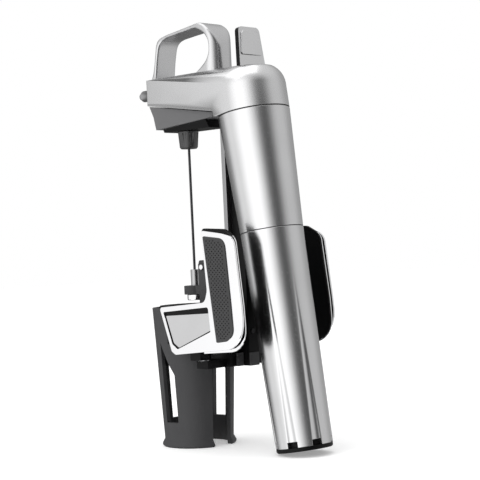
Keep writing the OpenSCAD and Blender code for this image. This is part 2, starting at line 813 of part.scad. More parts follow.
module trigger_lever() {
    hang = head_top - pivot_z;
    color(silver) difference() {
        union() {
            trigger_face(0, head_top - shoulder_r / 2, trigger_t);
            translate([pivot_x, 0, pivot_z]) rotate([90, 0, 0])
                cylinder(r = hub_knuckle_r, h = trigger_w - 4 * head_wall, center = true);
            side_slab([[pivot_x - hub_knuckle_r, pivot_z],
                [trigger_x - trigger_t, head_top - shoulder_r / 2],
                [trigger_x, head_top - shoulder_r / 2],
                [pivot_x + hub_knuckle_r, pivot_z]], trigger_w - 4 * head_wall);
            side_slab([[pivot_x - pivot_arm - foot_t, pivot_z - hub_knuckle_r + gap],
                [pivot_x, pivot_z - hub_knuckle_r + gap], [pivot_x, pivot_z],
                [pivot_x - pivot_arm - foot_t, pivot_z]], 2 * foot_t);
        }
        translate([pivot_x, 0, pivot_z]) rotate([90, 0, 0])
            cylinder(r = pivot_r, h = 2 * trigger_w, center = true);
    }
}

module trigger_pad() {
    color(silver) translate([(pad_rise + run_gap / 2) / cos(trigger_rake), 0, 0])
        trigger_face(pad_margin, head_top + trigger_h / 3.4, pad_rise, pad_round);
}

module gas_capsule() {
    shoulder = capsule_len - capsule_neck_len;
    color(steel) cup_turned([for (p = [[0, 0], [capsule_foot_r, 0],
        [capsule_r - capsule_edge, 0.03 * capsule_len], [capsule_r, 0.07 * capsule_len],
        [capsule_r, shoulder - 1.1 * capsule_r], [0.94 * capsule_r, shoulder - 0.8 * capsule_r],
        [0.72 * capsule_r, shoulder - 0.3 * capsule_r], [capsule_neck_r, shoulder],
        [capsule_neck_r, capsule_len], [pierce_r, capsule_len],
        [pierce_r, capsule_len - pierce_depth], [0, capsule_len - pierce_depth]])
        [p[0], floor_top + p[1]]]);
}

module capsule_cup() {
    low = cup_r_end - flute_depth + flute_r;
    high = cup_r_end + (seam_r - cup_r_end) * flute_len / cup_len + flute_end_r - flute_step;
    color(silver) difference() {
        cup_turned([[cup_bore_r, rim_h], [cup_r_end, rim_h], [seam_r, cup_len],
            [collar_bore_r, cup_len], [collar_bore_r, cup_len - collar_depth],
            [cup_bore_r, cup_len - collar_depth]]);
        on_cup_axis() for (i = [0:flute_n - 1])
            rotate([0, 0, flute_turn + 360 * i / flute_n]) {
                translate([low, 0, 0]) rotate([0, atan((high - low) / flute_len), 0])
                    cylinder(r1 = flute_r, r2 = flute_end_r, h = flute_len);
                translate([cup_bore_r - over, -notch_w / 2, 0])
                    cube([cup_r_end, notch_w, rim_h + notch_h]);
            }
    }
}

module cup_liner() {
    r = cup_bore_r - gap;
    color(plastic_black) cup_turned([[r - liner_wall, floor_top], [r, floor_top],
        [r, reg_floor - reg_skirt_h], [r - liner_wall, reg_floor - reg_skirt_h]]);
}

module cup_end_ring() {
    r = cup_r_end - gap;
    color(plastic_black) difference() {
        cup_turned([[0, 0.5 * rim_h], [r - rim_h, 0.5 * rim_h], [r - 0.8 * rim_h, 0],
            [r - 0.3 * rim_h, 0], [r, 0.3 * rim_h], [r, rim_h], [cup_bore_r - gap, rim_h],
            [cup_bore_r - gap, floor_top], [0, floor_top]]);
        on_cup_axis(-over) {
            cylinder(r = vent_r, h = floor_top + 2 * over);
            for (i = [0:flute_n - 1]) rotate([0, 0, 360 * i / flute_n])
                translate([vent_ring_r, 0, 0]) cylinder(r = vent_r, h = floor_top + 2 * over);
        }
    }
}

module needle_hub() {
    r_foot = hub_r * hub_taper;
    color(plastic_black) difference() {
        rotate_extrude() polygon([[needle_r, hub_foot], [r_foot - hub_edge, hub_foot],
            [r_foot, hub_foot + hub_edge], [hub_r, hub_top], [stud_r, hub_top],
            [stud_r, needle_top - gap], [needle_r, needle_top - gap]]);
        for (i = [0:hub_flutes - 1]) rotate([0, 0, 360 * (i + 0.5) / hub_flutes])
            translate([hub_r + 0.45 * hub_flute_r, 0, hub_foot - over])
                cylinder(r = hub_flute_r, h = hub_h - hub_edge + over);
    }
}

module needle() {
    color(steel) rotate_extrude() polygon([[0, collar_z], [needle_r, collar_z + needle_tip_h],
        [needle_r, needle_top], [0, needle_top]]);
}

function skirt_r(z) = skirt_r_foot + (skirt_r_top - skirt_r_foot) * z / skirt_h;

// A wedge of the plan between two angles about the skirt's axis, on both sides
module both_sectors(a, b, z0, z1) {
    reach = 2 * skirt_r_top;
    for (s = [0, 1]) mirror([0, s, 0]) translate([skirt_x, 0, z0]) linear_extrude(z1 - z0)
        polygon([[0, 0], [reach * cos(a), reach * sin(a)],
            [reach * cos((a + b) / 2), reach * sin((a + b) / 2)],
            [reach * cos(b), reach * sin(b)]]);
}

module neck_skirt() {
    lip = skirt_r_foot + lip_r;
    color(plastic_dark) difference() {
        translate([skirt_x, 0, 0]) rotate_extrude() polygon([[skirt_r_foot - skirt_wall, 0],
            [lip - lip_r / 2, 0], [lip, lip_r / 2], [lip, lip_h - 1.6 * lip_r],
            [skirt_r(lip_h), lip_h], [skirt_r_top, skirt_h],
            [skirt_r_top - skirt_wall, skirt_h], [skirt_r_foot - skirt_wall, lip_h]]);
        side_slab([[window_side[0], window_foot], [window_side[1], window_foot],
            [window_side[1], window_knee - window_bend],
            [window_side[1] - 0.6 * window_bend, window_knee], [window_side[0], window_top]],
            3 * skirt_r_top);
        span([-2 * skirt_r_top, -front_window_w / 2, window_foot],
            [skirt_x, front_window_w / 2, front_window_top]);
        span([skirt_x, -rear_gap_w / 2, -over], [2 * skirt_r_top, rear_gap_w / 2, slot_top]);
        both_sectors(skirt_turn[0], skirt_turn[1], jaw_z[0] - jaw_gap, jaw_z[1] + jaw_gap);
        span([neck_r, -bridge_w / 2 - gap, tab_top],
            [2 * rail_x, bridge_w / 2 + gap, 2 * skirt_h]);
        for (s = [-1, 1]) translate([skirt_x, 0, skirt_screw_z])
            rotate([0, 0, s * skirt_screw_turn]) rotate([0, 90, 0])
                translate([0, 0, neck_r]) cylinder(
                    r = skirt_screw_r * screw_shank_share + 2 * gap, h = skirt_r_top);
    }
}

module clamp_body() {
    bore = neck_r + neck_clear;
    inner = skirt_r(clamp_foot) - skirt_wall - clamp_r_gap;
    color(plastic_black) difference() {
        union() {
            translate([skirt_x, 0, clamp_foot]) cylinder(r = inner,
                h = clamp_top - clamp_foot);
            span([bore, -bridge_w / 2, clamp_foot], [bridge_x, bridge_w / 2, clamp_top]);
            for (z = [clamp_foot, ear_z_top - ear_h])
                span([ear_x[0], -ear_y, z], [ear_x[1], ear_y, z + ear_h]);
        }
        translate([0, 0, clamp_foot - over]) cylinder(r = bore, h = clamp_top);
        translate([skirt_x, 0, 0]) rotate_extrude() polygon([
            [skirt_r(clamp_foot) - skirt_wall - gap, clamp_foot - over],
            [skirt_r(clamp_foot) + gap, clamp_foot - over], [skirt_r(tab_top) + gap,
            tab_top + gap], [skirt_r(clamp_foot) - skirt_wall - gap, tab_top + gap]]);
        intersection() {
            both_sectors(clamp_turn[0], clamp_turn[1], jaw_z[0] - 2 * jaw_gap,
                jaw_z[1] + 2 * jaw_gap);
            translate([skirt_x, 0, clamp_foot]) cylinder(r = skirt_r_top, h = clamp_top);
        }
        span([rail_x - channel_gap, -rail_w / 2 - channel_gap, clamp_foot - over],
            [rail_x + rail_t + channel_gap, rail_w / 2 + channel_gap, clamp_top + over]);
        span([rail_x, -web_w / 2 - slide_gap, clamp_foot - over],
            [2 * rail_x, web_w / 2 + slide_gap, clamp_top + over]);
        span([rail_x - channel_gap, -stop_w / 2 - slide_gap, clamp_foot - over],
            [2 * rail_x, stop_w / 2 + slide_gap, rail_foot + stop_h + gap]);
        for (s = [-1, 1]) translate([hinge_x, s * hinge_y, clamp_foot - over])
            cylinder(r = hinge_r, h = clamp_top);
        for (s = [-1, 1]) translate([skirt_x, 0, skirt_screw_z])
            rotate([0, 0, s * skirt_screw_turn]) rotate([0, 90, 0])
                cylinder(r = skirt_screw_r * screw_shank_share + gap, h = 2 * skirt_r_top);
    }
}

module slide_liner() {
    a = rail_w / 2 + slide_gap;
    color(plastic_dark) difference() {
        span([rail_x - slide_gap - liner_t, -a - liner_t, rail_foot + stop_h + 2 * gap],
            [rail_x + rail_t, a + liner_t, clamp_top]);
        span([rail_x - slide_gap, -a, rail_foot], [2 * rail_x, a, 2 * clamp_top]);
    }
}

module skirt_screws() {
    face = skirt_r(skirt_screw_z) + rail_screw_h;
    color(steel) for (s = [-1, 1]) translate([skirt_x, 0, skirt_screw_z])
        rotate([0, 0, s * skirt_screw_turn]) translate([face, 0, 0]) rotate([0, 90, 0])
            screw(skirt_screw_r, rail_screw_h - gap, face - neck_r - 2 * neck_clear);
}

module guide_arm() {
    color(plastic_dark) difference() {
        union() {
            translate([0, 0, collar_z]) cylinder(r = collar_r, h = collar_t_guide);
            span([0, -guide_w / 2, collar_z], [arm_x[1], guide_w / 2, collar_z + collar_t_guide]);
            side_slab(rounded([[arm_x[0], clamp_top + gap, 0], [arm_base_x, clamp_top + gap, 0],
                [arm_base_x, clamp_top + arm_base_h, bumper_round],
                [arm_x[1], clamp_top + arm_base_h, guide_round],
                [arm_x[1], arm_top, guide_round], [arm_x[0], arm_top, 0]]), guide_w);
        }
        translate([0, 0, collar_z - over]) cylinder(r = guide_r, h = collar_t_guide + 2 * over);
        translate([guide_pin_x, 0, arm_top - guide_pin_drop]) rotate([90, 0, 0])
            cylinder(r = guide_pin_r, h = 2 * guide_w, center = true);
    }
}

module guide_bumper() {
    color(rubber_black) side_slab(rounded([[arm_x[0], arm_top, 0],
        [arm_x[0] + bumper_len, arm_top, 0],
        [arm_x[0] + bumper_len, arm_top + bumper_h, bumper_round],
        [arm_x[0] + bumper_slope, arm_top + bumper_h, bumper_round]]), guide_w - 2 * gap);
}

module guide_tube() {
    color(chrome) difference() {
        translate([0, 0, collar_z]) cylinder(r = guide_r - run_gap / 2, h = guide_top - collar_z);
        translate([0, 0, collar_z - over]) cylinder(r = needle_r + run_gap, h = guide_top);
    }
}

module guide_foot() {
    color("white") difference() {
        translate([0, 0, guide_foot_z]) cylinder(r = guide_foot_r, h = collar_z - guide_foot_z);
        translate([0, 0, guide_foot_z - over]) cylinder(r = needle_r + run_gap, h = collar_r);
    }
}

module guide_pin() {
    color(chrome) translate([guide_pin_x, 0, arm_top - guide_pin_drop]) rotate([90, 0, 0])
        cylinder(r = guide_pin_r - run_gap / 2, h = guide_pin_w, center = true);
}

module wing_pins() {
    color(steel) for (s = [-1, 1]) translate([hinge_x, s * hinge_y, clamp_foot]) {
        cylinder(r = hinge_r - run_gap / 2, h = ear_z_top - clamp_foot);
        translate([0, 0, ear_h]) cylinder(r = lug_r, h = shoulder_rise);
    }
}

module wing_springs() {
    foot = lug_z[1] + gap;
    color(steel) for (s = [-1, 1]) translate([hinge_x, s * hinge_y, foot])
        coil(hinge_r + 3 * wire_r, wire_r, ear_z_top - ear_h - foot - gap, 4);
}

// Places children on the left wing's outer face: x along the wing, y inwards, z up
module on_left_wing() {
    translate([0, -wing_side, 0]) rotate([0, 0, -wing_flare]) children();
}

// A slab of the left wing between two depths behind its outer face
module wing_slab(points, y0, y1) {
    on_left_wing() translate([0, y1, 0]) rotate([90, 0, 0]) linear_extrude(y1 - y0)
        polygon(points);
}

module wing_back() {
    reach = frame_t + back_gap;
    cover = reach + rim_depth + rim_t + 2 * rim_gap;
    color(plastic_black) difference() {
        union() {
            wing_slab(on_wing(core_share), reach, reach + back_t);
            wing_slab(on_wing(cover_share), cover, reach + back_t);
            wing_slab(on_wing(lobe_share), reach, reach + lobe_t);
            translate([hinge_x, -hinge_y, lug_z[0]]) cylinder(r = lug_r, h = lug_z[1] - lug_z[0]);
            span([hinge_x - lug_r, -wing_side - block_out, lug_z[0]],
                [hinge_x + lug_r, -hinge_y, lug_z[1]]);
        }
        translate([hinge_x, -hinge_y, 0]) cylinder(r = hinge_r + run_gap, h = head_top);
    }
}

module wing_rim() {
    foot = frame_t + back_gap + rim_depth + rim_gap;
    color(chrome) difference() {
        wing_slab(on_wing(rim_share), foot, foot + rim_t);
        wing_slab(on_wing([for (p = core_share) [p[0] + 0.002 * sign(p[0] - 0.6),
            p[1] + 0.002 * sign(p[1] - 0.5), p[2]]]), 0, 2 * foot);
        wing_slab(on_wing(lobe_share), 0, 2 * foot);
        span([hinge_x - 2 * lug_r, -2 * wing_side, 0],
            [hinge_x + 2 * lug_r, -hinge_y, lug_z[1] + 2 * lug_r]);
    }
}

module wing_frame() {
    color(chrome) difference() {
        wing_slab(on_wing(frame_share), 0, frame_t);
        wing_slab(on_wing(pad_share), -over, pad_t - pad_proud + pad_gap);
        wing_slab(on_wing(recess_share), -over, frame_t + over);
    }
}

module grip_pad() {
    color(rubber_black) difference() {
        wing_slab(on_wing(pad_share), -pad_proud, pad_t - pad_proud);
    }
}

module wing_plate() {
    color(silver) wing_slab(on_wing(plate_share), frame_t - plate_t, frame_t);
}

module jaw() {
    rib = neck_r + jaw_pad_t + gap;
    color(plastic_black) translate([0, 0, jaw_z[0]]) linear_extrude(jaw_z[1] - jaw_z[0])
        difference() {
            union() {
                intersection() {
                    circle(r = rib + jaw_t);
                    polygon([[0, 0], for (a = [jaw_sector[0], jaw_mid, jaw_sector[1]])
                        2 * rib * [cos(a), -sin(a)]]);
                }
                polygon(rounded(jaw_arm));
            }
            circle(r = rib);
        }
}

module jaw_pad() {
    color(rubber_black) translate([0, 0, jaw_z[0]]) linear_extrude(jaw_z[1] - jaw_z[0])
        difference() {
            intersection() {
                circle(r = neck_r + jaw_pad_t);
                polygon([[0, 0], for (a = [jaw_sector[0], jaw_mid, jaw_sector[1]])
                    2 * neck_r * [cos(a), -sin(a)]]);
            }
            circle(r = neck_r);
        }
}

module left_wing_back() { wing_back(); }
module left_wing_frame() { wing_frame(); }
module left_wing_rim() { wing_rim(); }
module left_grip_pad() { grip_pad(); }
module left_wing_plate() { wing_plate(); }
module left_jaw() { jaw(); }
module left_jaw_pad() { jaw_pad(); }
module right_wing_back() { mirror([0, 1, 0]) wing_back(); }
module right_wing_frame() { mirror([0, 1, 0]) wing_frame(); }
module right_wing_rim() { mirror([0, 1, 0]) wing_rim(); }
module right_grip_pad() { mirror([0, 1, 0]) grip_pad(); }
module right_wing_plate() { mirror([0, 1, 0]) wing_plate(); }
module right_jaw() { mirror([0, 1, 0]) jaw(); }
module right_jaw_pad() { mirror([0, 1, 0]) jaw_pad(); }

head_shell();
chin_cover();
under_cover();
loop_handle();
sleeve_gasket();
upper_sleeve();
cup_collar();
regulator_body();
capsule_seal();
piercing_pin();
regulator_spring();
regulator_piston();
valve_body();
gas_tube();
needle_socket();
hub_seal();
spout_tube();
spout_nozzle();
spout_tip();
rail_web();
rail_strip();
rail_stop();
rail_screws();
trigger_pin();
trigger_lever();
trigger_pad();
valve_stem();
valve_spring();
gas_capsule();
capsule_cup();
cup_liner();
cup_end_ring();
needle_hub();
needle();
clamp_body();
neck_skirt();
slide_liner();
skirt_screws();
guide_arm();
guide_bumper();
guide_tube();
guide_foot();
guide_pin();
wing_pins();
wing_springs();
left_wing_back();
left_wing_frame();
left_wing_rim();
left_grip_pad();
left_wing_plate();
left_jaw();
left_jaw_pad();
right_wing_back();
right_wing_frame();
right_wing_rim();
right_grip_pad();
right_wing_plate();
right_jaw();
right_jaw_pad();
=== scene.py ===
# %% [markdown]
# A wine preservation dispenser: a leaning gas-capsule cup under a metal head with a loop handle,
# a trigger and a spout, and a needle that a bottle clamp slides along. The CAD solids carry the
# real sizes. This file gives them edges, finishes and the small relief that light catches.

# %% Load the frame
import bmesh
import bpy
import json
import math
from mathutils import Matrix, Vector


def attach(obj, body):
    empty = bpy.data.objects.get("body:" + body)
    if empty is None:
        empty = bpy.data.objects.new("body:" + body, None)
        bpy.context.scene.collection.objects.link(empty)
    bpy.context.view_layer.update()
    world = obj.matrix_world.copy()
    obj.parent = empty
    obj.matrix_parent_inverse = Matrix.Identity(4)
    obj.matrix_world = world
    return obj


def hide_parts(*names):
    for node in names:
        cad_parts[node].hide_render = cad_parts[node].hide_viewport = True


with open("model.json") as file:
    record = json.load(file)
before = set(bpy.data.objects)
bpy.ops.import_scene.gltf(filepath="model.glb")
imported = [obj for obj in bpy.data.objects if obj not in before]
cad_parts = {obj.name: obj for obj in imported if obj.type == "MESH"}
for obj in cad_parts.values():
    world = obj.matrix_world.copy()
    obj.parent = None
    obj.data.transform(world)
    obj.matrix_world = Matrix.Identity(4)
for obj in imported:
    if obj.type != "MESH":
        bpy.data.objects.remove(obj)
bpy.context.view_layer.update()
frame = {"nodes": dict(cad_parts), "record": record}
MM = 0.001
BODY_OF = {node: body for body, nodes in frame["record"]["behaviour"]["bodies"].items()
           for node in nodes}

# %% [markdown]
# Real metal and plastic are never one flat value. Each finish below is a Principled shader whose
# roughness and surface are stirred by fine noise in object coordinates, so a highlight breaks up
# the way it does on a cast, moulded or brushed face.

# %% A small builder for shader nodes
def new_material(name):
    """An empty node material with its Principled shader and its node tree."""
    material = bpy.data.materials.new(name)
    material.use_nodes = True
    tree = material.node_tree
    return material, tree, tree.nodes["Principled BSDF"]


def add(tree, kind, **values):
    """One node of a kind, with the values of its named sockets or properties set."""
    node = tree.nodes.new(kind)
    for key, value in values.items():
        if hasattr(node, key):
            setattr(node, key, value)
        else:
            node.inputs[key.replace("_", " ")].default_value = value
    return node


def finish(name, color, metallic, roughness, spread, grain, bump, stretch=(1, 1, 1), tint=0.06,
           specular=0.5):
    """A finish: base colour, roughness with its spread, and a bump of fine grain."""
    material, tree, shader = new_material(name)
    link = tree.links.new
    place = add(tree, "ShaderNodeTexCoord")
    scaled = add(tree, "ShaderNodeMapping")
    scaled.inputs["Scale"].default_value = stretch
    link(place.outputs["Object"], scaled.inputs["Vector"])
    fine = add(tree, "ShaderNodeTexNoise", Scale=grain, Detail=3.0, Roughness=0.6)
    broad = add(tree, "ShaderNodeTexNoise", Scale=45.0, Detail=2.0)
    link(scaled.outputs["Vector"], fine.inputs["Vector"])
    link(place.outputs["Object"], broad.inputs["Vector"])
    rough = add(tree, "ShaderNodeMapRange")
    rough.inputs["To Min"].default_value = roughness - spread
    rough.inputs["To Max"].default_value = roughness + spread
    link(fine.outputs["Fac"], rough.inputs["Value"])
    link(rough.outputs["Result"], shader.inputs["Roughness"])
    shade = add(tree, "ShaderNodeMix", data_type="RGBA")
    shade.inputs[6].default_value = (*[c * (1 - tint) for c in color], 1)
    shade.inputs[7].default_value = (*[min(1, c * (1 + tint)) for c in color], 1)
    link(broad.outputs["Fac"], shade.inputs["Factor"])
    link(shade.outputs[2], shader.inputs["Base Color"])
    relief = add(tree, "ShaderNodeBump")
    relief.inputs["Strength"].default_value = bump
    relief.inputs["Distance"].default_value = 0.05 * MM
    link(fine.outputs["Fac"], relief.inputs["Height"])
    link(relief.outputs["Normal"], shader.inputs["Normal"])
    shader.inputs["Metallic"].default_value = metallic
    shader.inputs["Specular IOR Level"].default_value = specular
    return material


print("a builder for finishes is ready")

# %% [markdown]
# The named finishes follow the photograph: cast silver, chrome, grey and black plastics, rubber,
# steels and brass. Each CAD node gets the finish of its slot, and a few have one of their own.

# %% Name the finishes and give them to the nodes
FINISHES = {
    "cast_silver": finish("cast_silver", (0.60, 0.60, 0.605), 1.0, 0.25, 0.06, 1700, 0.3),
    "bright_chrome": finish("bright_chrome", (0.86, 0.86, 0.87), 1.0, 0.06, 0.02, 700, 0.02),
    "grey_plastic": finish("grey_plastic", (0.125, 0.125, 0.128), 0.0, 0.5, 0.06, 2200, 0.3,
                           specular=0.4),
    "dark_plastic": finish("dark_plastic", (0.05, 0.05, 0.052), 0.0, 0.5, 0.06, 2200, 0.35,
                           specular=0.25),
    "black_plastic": finish("black_plastic", (0.003, 0.003, 0.0033), 0.0, 0.42, 0.06, 2200, 0.2,
                            specular=0.12),
    "black_rubber": finish("black_rubber", (0.046, 0.046, 0.047), 0.0, 0.62, 0.06, 2600, 0.3,
                           specular=0.3),
    "bright_steel": finish("bright_steel", (0.52, 0.52, 0.53), 1.0, 0.26, 0.08, 1600, 0.2,
                           (1, 1, 0.05)),
    "rail_steel": finish("rail_steel", (0.30, 0.30, 0.305), 1.0, 0.3, 0.06, 1600, 0.2,
                         (1, 1, 0.05)),
    "dark_steel": finish("dark_steel", (0.05, 0.05, 0.052), 1.0, 0.35, 0.06, 1600, 0.1),
    "yellow_brass": finish("yellow_brass", (0.72, 0.55, 0.26), 1.0, 0.25, 0.06, 1500, 0.15),
}
# A few pieces keep their slot but have a finish of their own
OWN_FINISH = {
    "head_shell": finish("head_silver", (0.6, 0.6, 0.605), 1.0, 0.27, 0.05, 1900, 0.22),
    "loop_handle": finish("loop_silver", (0.52, 0.52, 0.525), 1.0, 0.27, 0.04, 2600, 0.1),
    "spout_nozzle": finish("dark_chrome", (0.3, 0.3, 0.305), 1.0, 0.12, 0.03, 700, 0.02),
    "needle_hub": finish("hub_plastic", (0.03, 0.03, 0.031), 0.0, 0.3, 0.05, 2000, 0.1,
                         specular=0.6),
    "guide_tube": finish("tube_steel", (0.36, 0.36, 0.365), 1.0, 0.28, 0.06, 1600, 0.15,
                         (1, 1, 0.05)),
}
OWN_FINISH["spout_tip"] = OWN_FINISH["spout_nozzle"]
OWN_FINISH["valve_body"] = FINISHES["dark_steel"]
OWN_FINISH["needle_socket"] = FINISHES["dark_steel"]
OWN_FINISH["gas_tube"] = FINISHES["dark_steel"]
# The pit walls get a darker rubber than the pad: painted shade in the recesses.
PIT_SHADE_FINISH = finish("pit_painted_shade", (0.01, 0.01, 0.0105), 0.0, 0.6, 0.05, 2600, 0.2,
                    specular=0.1)
SLOT_OF = {part["node"]: part["material_slot"] for part in frame["record"]["subparts"]}
for node, piece in frame["nodes"].items():
    piece.data.materials.clear()
    piece.data.materials.append(OWN_FINISH.get(node, FINISHES[SLOT_OF[node]]))
print("finishes:", ", ".join(FINISHES), "and of one piece:", ", ".join(OWN_FINISH))

# %% [markdown]
# A moulded or cast edge is never sharp: it carries a small radius that draws a thin light line.
# The CAD solids keep sharp edges, so each one that shows is copied, its doubled corners merged,
# and its edges beveled. The copy then stands for the solid.

# %% Round the edges of a CAD node
def collect(piece, body, slot, node=None):
    """Links a piece, gives it its slot and body, and lets it stand for a node."""
    if piece.name not in bpy.context.scene.collection.all_objects:
        bpy.context.scene.collection.objects.link(piece)
    if not piece.data.materials:
        piece.data.materials.append(FINISHES[slot])
    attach(piece, body)
    if node:
        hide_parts(node)
    return piece


def baked(piece):
    """Applies a piece's modifiers by taking its evaluated mesh."""
    bpy.context.view_layer.update()
    graph = bpy.context.evaluated_depsgraph_get()
    mesh = bpy.data.meshes.new_from_object(piece.evaluated_get(graph))
    piece.modifiers.clear()
    piece.data = mesh
    return piece


def softened(node, width, segments=2, crease=32.0):
    """A copy of a CAD node with merged corners and beveled edges."""
    mesh = frame["nodes"][node].data.copy()
    shape = bmesh.new()
    shape.from_mesh(mesh)
    bmesh.ops.remove_doubles(shape, verts=shape.verts, dist=2e-6)
    bmesh.ops.dissolve_limit(shape, angle_limit=math.radians(0.3), verts=shape.verts,
                             edges=shape.edges)
    shape.to_mesh(mesh)
    shape.free()
    mesh.shade_smooth()
    mesh.set_sharp_from_angle(angle=math.radians(crease))
    piece = bpy.data.objects.new(node + "_soft", mesh)
    bpy.context.scene.collection.objects.link(piece)
    bevel = piece.modifiers.new("edge", "BEVEL")
    bevel.width = width * MM
    bevel.segments = segments
    bevel.limit_method = "ANGLE"
    bevel.angle_limit = math.radians(crease)
    bevel.harden_normals = True
    bevel.miter_outer = "MITER_ARC"
    baked(piece)
    return collect(piece, BODY_OF[node], SLOT_OF[node], node)


print("a copy is softened from", len(frame["nodes"]), "nodes")

# %% [markdown]
# The widths are in millimetres: broad on castings and mouldings, fine on sheet metal and screws.
# Pieces that nothing shows, or that a smoother mesh below stands for, aren't in the list.

# %% Round each visible piece
EDGE_MM = {
    "head_shell": 0.5, "upper_sleeve": 0.2, "cup_end_ring": 0.2,
    "chin_cover": 0.5, "under_cover": 0.4, "trigger_lever": 0.5,
    "trigger_pad": 0.35, "spout_nozzle": 0.3, "spout_tip": 0.2, "needle_hub": 0.3,
    "rail_strip": 0.35, "rail_web": 0.3, "rail_stop": 0.4, "clamp_body": 0.4,
    "neck_skirt": 0.45, "guide_arm": 0.5, "guide_foot": 0.4, "guide_tube": 0.2,
    "guide_pin": 0.2, "guide_bumper": 0.3, "rail_screws": 0.1, "skirt_screws": 0.1,
    "left_wing_frame": 0.4, "right_wing_frame": 0.4, "left_wing_back": 0.2,
    "right_wing_back": 0.2, "left_wing_rim": 0.2, "right_wing_rim": 0.2,
    "left_wing_plate": 0.15, "right_wing_plate": 0.15, "left_jaw": 0.3, "right_jaw": 0.3,
    "left_jaw_pad": 0.3, "right_jaw_pad": 0.3,
}
SEGMENTS = {"trigger_lever": 3}
for node, width in EDGE_MM.items():
    softened(node, width, SEGMENTS.get(node, 2))
print("softened pieces:", len(EDGE_MM))

# %% [markdown]
# The loop handle is a casting polished by hand, so its corners flow into each other. A fine
# remesh with many light smoothing passes rounds them. Its two feet keep their shape, because a
# weight grows from nothing at a line through both feet to full a little above it.

# %% Smooth the cast loop
VOXEL, PASSES = 0.32, 110
FOOT_KEEP, FOOT_BLEND, FOOT_REACH = 1.0, 3.0, 8.0


def foot_line(corners):
    """The height of the feet at both ends of the loop, as a function of x."""
    front, rear = min(c.x for c in corners), max(c.x for c in corners)
    low_front = min(c.z for c in corners if c.x < front + FOOT_REACH * MM)
    low_rear = min(c.z for c in corners if c.x > rear - FOOT_REACH * MM)
    return lambda x: low_front + (low_rear - low_front) * (x - front) / (rear - front)


loop = softened("loop_handle", 0.7)
remesh = loop.modifiers.new("fine", "REMESH")
remesh.mode = "VOXEL"
remesh.voxel_size = VOXEL * MM
baked(loop)
corners = [corner.co.copy() for corner in loop.data.vertices]
line = foot_line(corners)
free = loop.vertex_groups.new(name="free")
for number, corner in enumerate(corners):
    above = corner.z - line(corner.x) - FOOT_KEEP * MM
    free.add([number], min(max(above / (FOOT_BLEND * MM), 0), 1), "REPLACE")
smooth = loop.modifiers.new("round", "SMOOTH")
smooth.factor = 0.5
smooth.iterations = PASSES
smooth.vertex_group = "free"
baked(loop)
loop.vertex_groups.clear()
loop.data.shade_smooth()
loop.data.materials.clear()
loop.data.materials.append(OWN_FINISH["loop_handle"])
print("loop faces:", len(loop.data.polygons))

# %% [markdown]
# The trigger is a silver shell on a black core, whose sides show beside the finger's face.

# %% Darken the trigger's sides
SIDE_FACING = 0.75
trigger = bpy.data.objects["trigger_lever_soft"]
trigger.data.materials.append(FINISHES["black_plastic"])
dark = [face for face in trigger.data.polygons if abs(face.normal.y) > SIDE_FACING]
for face in dark:
    face.material_index = 1
print("dark trigger faces:", len(dark))

# %% [markdown]
# The cup is a turned shell whose lower half carries soft flutes, each running down into a notch
# at the foot. A grid of columns round its axis follows the flutes smoothly, where the facets of
# the solid would crinkle a reflection. The notches are left out of the grid and walled.

# %% Loft the fluted cup
CUP_LEAN, CUP_X, CUP_Z = math.radians(8.2), 81.475, 2.2535
CUP_R, SEAM_R, CUP_LEN, CUP_FOOT = 15.8, 17.7, 121.8, 2.3
BORE_R, SOCKET_R, SOCKET_FLOOR = 13.2, 15.3, 104.0
FLUTES, FLUTE_TURN, FLUTE_DEEP, FLUTE_END_DEEP = 7, -19.0, 1.1, 0.1
FLUTE_R, FLUTE_END_R, FLUTE_LEN, FLUTE_SOFT = 5.0, 2.0, 72.0, 0.35
NOTCH_TOP, NOTCH_HALF = 5.5, 2.7
SIDE_STEPS, NOTCH_STEPS, HEIGHT_STEPS = 14, 20, 40


def cup_radius(height, off):
    """The cup's outer radius at a height and an angle off the middle of a flute."""
    plain = CUP_R + (SEAM_R - CUP_R) * (height - CUP_FOOT) / (CUP_LEN - CUP_FOOT)
    share = height / FLUTE_LEN
    radius = FLUTE_R + (FLUTE_END_R - FLUTE_R) * share
    low = CUP_R - FLUTE_DEEP + FLUTE_R
    high = CUP_R + (SEAM_R - CUP_R) * FLUTE_LEN / CUP_LEN + FLUTE_END_R - FLUTE_END_DEEP
    centre = low + (high - low) * share
    reach = radius * radius - (centre * math.sin(off)) ** 2
    if radius < FLUTE_SOFT or reach < 0:
        return plain
    flute = centre * math.cos(off) - math.sqrt(reach)
    near = max(FLUTE_SOFT - abs(plain - flute), 0) / FLUTE_SOFT
    return min(plain, flute) - near * near * FLUTE_SOFT / 4


def cup_columns():
    """The columns of one flute, as degrees off its middle and whether a notch starts there."""
    half = 180 / FLUTES
    notch = math.degrees(math.asin(NOTCH_HALF / (CUP_R - FLUTE_DEEP)))
    parts = [(-half, -notch, SIDE_STEPS, False), (-notch, notch, NOTCH_STEPS, True),
             (notch, half, SIDE_STEPS, False)]
    return [(a + (b - a) * i / n, open_) for a, b, n, open_ in parts for i in range(n)]


